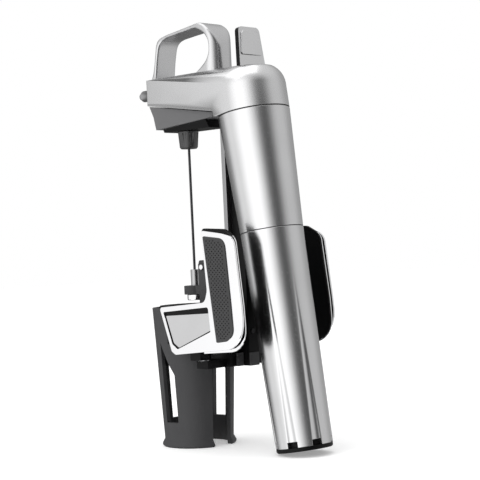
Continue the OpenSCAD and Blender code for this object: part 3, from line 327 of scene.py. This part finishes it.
def cup_mesh():
    """The closed shell of the cup: outer and inner columns, less the notches."""
    heights = [CUP_FOOT] + [NOTCH_TOP + (CUP_LEN - NOTCH_TOP) * i / HEIGHT_STEPS
                            for i in range(HEIGHT_STEPS + 1)]
    inner = [(SOCKET_R, CUP_LEN), (SOCKET_R, SOCKET_FLOOR), (BORE_R, SOCKET_FLOOR),
             (BORE_R, NOTCH_TOP), (BORE_R, CUP_FOOT)]
    lean = (Matrix.Translation((CUP_X * MM, 0, CUP_Z * MM))
            @ Matrix.Rotation(-CUP_LEAN, 4, "Y"))
    corners, faces, notched = [], [], []
    for turn in range(FLUTES):
        for off, open_ in cup_columns():
            angle = math.radians(FLUTE_TURN + 360 * turn / FLUTES + off)
            ring = [(cup_radius(h, math.radians(off)), h) for h in heights] + inner
            corners += [lean @ (Vector((r * math.cos(angle), r * math.sin(angle), h)) * MM)
                        for r, h in ring]
            notched.append(open_)
    rows = len(heights) + len(inner)
    columns = len(notched)
    for c in range(columns):
        here, there = c * rows, (c + 1) % columns * rows
        if notched[c] != notched[c - 1]:
            faces.append((here, here + 1, here + rows - 2, here + rows - 1))
        if notched[c]:
            faces.append((here + 1, here + rows - 2, there + rows - 2, there + 1))
        for k in range(rows):
            if not (notched[c] and k in (0, rows - 2, rows - 1)):
                up = (k + 1) % rows
                faces.append((here + k, here + up, there + up, there + k))
    mesh = bpy.data.meshes.new("fluted_cup")
    mesh.from_pydata(corners, [], faces)
    shape = bmesh.new()
    shape.from_mesh(mesh)
    loose = [corner for corner in shape.verts if not corner.link_faces]
    bmesh.ops.delete(shape, geom=loose, context="VERTS")
    bmesh.ops.recalc_face_normals(shape, faces=shape.faces)
    shape.to_mesh(mesh)
    shape.free()
    return mesh


mesh = cup_mesh()
mesh.shade_smooth()
mesh.set_sharp_from_angle(angle=math.radians(40))
cup = bpy.data.objects.new("fluted_cup", mesh)
bpy.context.scene.collection.objects.link(cup)
bevel = cup.modifiers.new("edge", "BEVEL")
bevel.width = 0.25 * MM
bevel.segments = 2
bevel.limit_method = "ANGLE"
bevel.angle_limit = math.radians(40)
bevel.harden_normals = True
baked(cup)
collect(cup, BODY_OF["capsule_cup"], SLOT_OF["capsule_cup"], "capsule_cup")
print("cup faces:", len(cup.data.polygons))

# %% [markdown]
# The rubber grip pads carry a staggered field of small rhombic pits. Pits in rows are a job for
# Geometry Nodes: one pit cutter is placed on every point of the field, the copies are made real
# and taken out of the pad. The pit walls keep the cutters' darker rubber, painted shade in the
# recesses. The points themselves come from a short loop, which keeps a margin.

# %% A node tree that sinks pits into a pad
PITCH_ALONG, PITCH_UP, MARGIN = 1.5, 2.3, 1.4
PIT_WIDE, PIT_TALL, PIT_DEEP = 1.25, 0.95, 0.7


def pit_tree():
    """Geometry Nodes: cutters on the field's points, subtracted from the pad; the cutters'
    darker finish paints shade on the pit walls.
    """
    tree = bpy.data.node_groups.new("pits", "GeometryNodeTree")
    face = tree.interface
    face.new_socket("Points", in_out="INPUT", socket_type="NodeSocketGeometry")
    pad = face.new_socket("Pad", in_out="INPUT", socket_type="NodeSocketObject")
    wide = face.new_socket("Pit width", in_out="INPUT", socket_type="NodeSocketFloat")
    tall = face.new_socket("Pit height", in_out="INPUT", socket_type="NodeSocketFloat")
    deep = face.new_socket("Pit depth", in_out="INPUT", socket_type="NodeSocketFloat")
    turn = face.new_socket("Turn", in_out="INPUT", socket_type="NodeSocketFloat")
    finish_in = face.new_socket("Finish", in_out="INPUT", socket_type="NodeSocketMaterial")
    pit_shade_in = face.new_socket("Pit finish", in_out="INPUT", socket_type="NodeSocketMaterial")
    face.new_socket("Pitted pad", in_out="OUTPUT", socket_type="NodeSocketGeometry")
    link = tree.links.new
    start = add(tree, "NodeGroupInput")
    end = add(tree, "NodeGroupOutput")
    cutter = add(tree, "GeometryNodeMeshCone", Vertices=4)
    cutter.inputs["Radius Top"].default_value = 1.0
    cutter.inputs["Radius Bottom"].default_value = 0.0
    cutter.inputs["Depth"].default_value = 2.0
    size = add(tree, "ShaderNodeCombineXYZ")
    link(start.outputs["Pit width"], size.inputs["X"])
    link(start.outputs["Pit height"], size.inputs["Y"])
    link(start.outputs["Pit depth"], size.inputs["Z"])
    angles = add(tree, "ShaderNodeCombineXYZ")
    angles.inputs["X"].default_value = math.pi / 2
    link(start.outputs["Turn"], angles.inputs["Z"])
    place = add(tree, "GeometryNodeInstanceOnPoints")
    link(start.outputs["Points"], place.inputs["Points"])
    # The cutters carry the darker pit finish, which paints shade on the pit walls.
    shade = add(tree, "GeometryNodeSetMaterial")
    link(cutter.outputs["Mesh"], shade.inputs["Geometry"])
    link(start.outputs["Pit finish"], shade.inputs["Material"])
    link(shade.outputs["Geometry"], place.inputs["Instance"])
    link(angles.outputs["Vector"], place.inputs["Rotation"])
    link(size.outputs["Vector"], place.inputs["Scale"])
    real = add(tree, "GeometryNodeRealizeInstances")
    link(place.outputs["Instances"], real.inputs["Geometry"])
    source = add(tree, "GeometryNodeObjectInfo")
    link(start.outputs["Pad"], source.inputs["Object"])
    paint = add(tree, "GeometryNodeSetMaterial")
    link(source.outputs["Geometry"], paint.inputs["Geometry"])
    link(start.outputs["Finish"], paint.inputs["Material"])
    cut = add(tree, "GeometryNodeMeshBoolean", operation="DIFFERENCE", solver="EXACT")
    link(paint.outputs["Geometry"], cut.inputs["Mesh 1"])
    link(real.outputs["Geometry"], cut.inputs["Mesh 2"])
    link(cut.outputs["Mesh"], end.inputs[0])
    return tree, [pad.identifier, wide.identifier, tall.identifier, deep.identifier,
                  turn.identifier, finish_in.identifier, pit_shade_in.identifier]


tree, keys = pit_tree()
print("pit tree inputs:", len(keys))

# %% [markdown]
# A pad's outer face is flat and flares outwards with its wing. Its corners, seen square to that
# face, give the outline that the field of pits keeps clear of by a margin.

# %% Dimple both grip pads
WING_FLARE = math.radians(5.9)


def inside(point, outline, margin):
    """True where a point is further than a margin within a convex outline."""
    for a, b in zip(outline, outline[1:] + outline[:1]):
        edge = (b - a).normalized()
        if edge.cross(point - a) < margin:
            return False
    return True


def dimpled(node, side, tree, keys):
    """The grip pad of one side, beveled, with its pits sunk in."""
    pad = softened(node, 0.25)
    spots = [v.co.copy() for v in pad.data.vertices]
    turn = side * WING_FLARE
    along = Vector((math.cos(turn), math.sin(turn), 0))
    outward = Vector((-math.sin(turn), math.cos(turn), 0)) * side
    face = max(c.dot(outward) for c in spots)
    flat = [Vector((c.dot(along), c.z)) for c in spots if face - c.dot(outward) < 0.00002]
    middle = sum(flat, Vector((0, 0))) / len(flat)
    outline = sorted(flat, key=lambda p: math.atan2((p - middle).y, (p - middle).x))
    points = []
    column = 0
    x = min(p.x for p in outline)
    while x < max(p.x for p in outline):
        z = min(p.y for p in outline) + (column % 2) * PITCH_UP * MM / 2
        while z < max(p.y for p in outline):
            if inside(Vector((x, z)), outline, MARGIN * MM):
                points.append(along * x + outward * (face - PIT_DEEP * MM) + Vector((0, 0, z)))
            z += PITCH_UP * MM
        x += PITCH_ALONG * MM
        column += 1
    field = bpy.data.meshes.new(node + "_field")
    field.from_pydata(points, [], [])
    holder = bpy.data.objects.new(node + "_pitted", field)
    bpy.context.scene.collection.objects.link(holder)
    change = holder.modifiers.new("pits", "NODES")
    change.node_group = tree
    values = [pad, PIT_WIDE * MM, PIT_TALL * MM, PIT_DEEP * MM,
              turn + (math.pi if side > 0 else 0), FINISHES["black_rubber"], PIT_SHADE_FINISH]
    for key, value in zip(keys, values):
        change[key] = value
    baked(holder)
    bpy.data.objects.remove(pad)
    holder.data.shade_smooth()
    holder.data.set_sharp_from_angle(angle=math.radians(20))
    collect(holder, BODY_OF[node], SLOT_OF[node], node)
    print(node, "pits:", len(points), "faces:", len(holder.data.polygons))


dimpled("left_grip_pad", -1, tree, keys)
dimpled("right_grip_pad", 1, tree, keys)

# %% [markdown]
# The photograph is lit like a catalogue picture: white all round, one broad soft light from the
# left of the camera and darkness on the right, so each round part turns from pale to dark.
# The surroundings carry that sweep as a ramp over the compass direction.

# %% Surroundings
CAMERA_TURN = math.radians(45)
TOWARDS_CAMERA = Vector((math.sin(CAMERA_TURN), -math.cos(CAMERA_TURN), 0))
CAMERA_RIGHT = Vector((math.cos(CAMERA_TURN), math.sin(CAMERA_TURN), 0))
SWEEP_DEG = [(-180, 0.18), (-160, 0.2), (-125, 0.42), (-102, 1.15), (-84, 1.1), (-67, 1.5),
             (-52, 1.8), (-25, 1.8), (-13, 1.4), (0, 0.8), (13, 0.27), (26, 0.12), (39, 0.15),
             (53, 0.45), (67, 0.75), (84, 0.8), (102, 0.77), (126, 0.55), (160, 0.4),
             (180, 0.18)]
SWEEP_TOP = 2.0
SKY_LEVEL = 0.95
SWEEP = [((angle + 180) / 360, level / SWEEP_TOP) for angle, level in SWEEP_DEG]
world = bpy.data.worlds.new("surroundings")
bpy.context.scene.world = world
world.use_nodes = True
tree = world.node_tree
link = tree.links.new
tree.nodes.clear()
place = add(tree, "ShaderNodeTexCoord")
side = add(tree, "ShaderNodeVectorMath", operation="DOT_PRODUCT")
side.inputs[1].default_value = CAMERA_RIGHT
ahead = add(tree, "ShaderNodeVectorMath", operation="DOT_PRODUCT")
ahead.inputs[1].default_value = TOWARDS_CAMERA
link(place.outputs["Generated"], side.inputs[0])
link(place.outputs["Generated"], ahead.inputs[0])
turn = add(tree, "ShaderNodeMath", operation="ARCTAN2")
link(side.outputs["Value"], turn.inputs[0])
link(ahead.outputs["Value"], turn.inputs[1])
share = add(tree, "ShaderNodeMapRange")
share.inputs["From Min"].default_value = -math.pi
share.inputs["From Max"].default_value = math.pi
link(turn.outputs["Value"], share.inputs["Value"])
ramp = add(tree, "ShaderNodeValToRGB")
ramp.color_ramp.interpolation = "CARDINAL"
while len(ramp.color_ramp.elements) < len(SWEEP):
    ramp.color_ramp.elements.new(0.5)
for element, (spot, level) in zip(ramp.color_ramp.elements, SWEEP):
    element.position = spot
    element.color = (level, level, level, 1)
link(share.outputs["Result"], ramp.inputs["Fac"])
height = add(tree, "ShaderNodeSeparateXYZ")
link(place.outputs["Generated"], height.inputs["Vector"])
up = add(tree, "ShaderNodeMapRange", interpolation_type="SMOOTHSTEP")
up.inputs["From Min"].default_value = 0.3
up.inputs["From Max"].default_value = 0.9
link(height.outputs["Z"], up.inputs["Value"])
blend = add(tree, "ShaderNodeMix", data_type="RGBA")
blend.inputs[7].default_value = (*[SKY_LEVEL / SWEEP_TOP] * 3, 1)
link(up.outputs["Result"], blend.inputs["Factor"])
link(ramp.outputs["Color"], blend.inputs[6])
lit = add(tree, "ShaderNodeBackground", Strength=SWEEP_TOP)
link(blend.outputs[2], lit.inputs["Color"])
plain = add(tree, "ShaderNodeBackground")
plain.inputs["Color"].default_value = (1, 1, 1, 1)
seen = add(tree, "ShaderNodeLightPath")
choose = add(tree, "ShaderNodeMixShader")
link(seen.outputs["Is Camera Ray"], choose.inputs["Fac"])
link(lit.outputs["Background"], choose.inputs[1])
link(plain.outputs["Background"], choose.inputs[2])
out = add(tree, "ShaderNodeOutputWorld")
link(choose.outputs["Shader"], out.inputs["Surface"])
print("surroundings: a sweep of", len(SWEEP), "levels")

# %% [markdown]
# A pale floor under the object keeps its soft shadow. The camera stands as the photograph's did:
# on the corner between the side and the back, level with the middle, and rolled a little.

# %% Floor, lamp and camera
FLOOR_SIZE = 6.0
FLOOR_LIFT = 0.3
mesh = bpy.data.meshes.new("floor")
half = FLOOR_SIZE / 2
mesh.from_pydata([(-half, -half, 0), (half, -half, 0), (half, half, 0), (-half, half, 0)], [],
                 [(0, 1, 2, 3)])
floor = bpy.data.objects.new("floor", mesh)
bpy.context.scene.collection.objects.link(floor)
material, tree, shader = new_material("pale_floor")
shader.inputs["Base Color"].default_value = (0.9, 0.9, 0.9, 1)
shader.inputs["Roughness"].default_value = 0.6
shader.inputs["Specular IOR Level"].default_value = 0.1
glow = add(tree, "ShaderNodeLightPath")
lift = add(tree, "ShaderNodeMath", operation="MULTIPLY")
lift.inputs[1].default_value = FLOOR_LIFT
tree.links.new(glow.outputs["Is Camera Ray"], lift.inputs[0])
shader.inputs["Emission Color"].default_value = (1, 1, 1, 1)
tree.links.new(lift.outputs["Value"], shader.inputs["Emission Strength"])
clear = add(tree, "ShaderNodeBsdfTransparent")
pick = add(tree, "ShaderNodeMixShader")
tree.links.new(glow.outputs["Is Glossy Ray"], pick.inputs["Fac"])
tree.links.new(shader.outputs["BSDF"], pick.inputs[1])
tree.links.new(clear.outputs["BSDF"], pick.inputs[2])
tree.links.new(pick.outputs["Shader"], tree.nodes["Material Output"].inputs["Surface"])
mesh.materials.append(material)


def lamp(name, size, power, spot, aim):
    """A rectangular soft lamp at a spot, facing an aim point."""
    data = bpy.data.lights.new(name, "AREA")
    data.shape = "RECTANGLE"
    data.size, data.size_y = size
    data.energy = power
    holder = bpy.data.objects.new(name, data)
    holder.matrix_world = (Matrix.Translation(spot)
                           @ (Vector(spot) - Vector(aim)).to_track_quat("Z", "Y").to_matrix()
                           .to_4x4())
    bpy.context.scene.collection.objects.link(holder)
    return holder


MIDDLE = (0.03, 0, 0.12)
lamp("overhead", (1.6, 1.6), 8.0, (-0.2, -0.3, 1.4), MIDDLE)
camera_data = bpy.data.cameras.new("camera")
camera_data.lens = 105.5
camera_data.sensor_width = 36.0
camera_data.clip_end = 20
camera = bpy.data.objects.new("camera", camera_data)
camera.matrix_world = (Matrix.Translation((0.6042, -0.5654, 0.1185))
                       @ Matrix.Rotation(CAMERA_TURN, 4, "Z")
                       @ Matrix.Rotation(math.radians(90), 4, "X")
                       @ Matrix.Rotation(math.radians(-2.69), 4, "Z"))
bpy.context.scene.collection.objects.link(camera)
scene = bpy.context.scene
scene.camera = camera
scene.view_settings.view_transform = "Standard"
print("lens:", camera_data.lens)
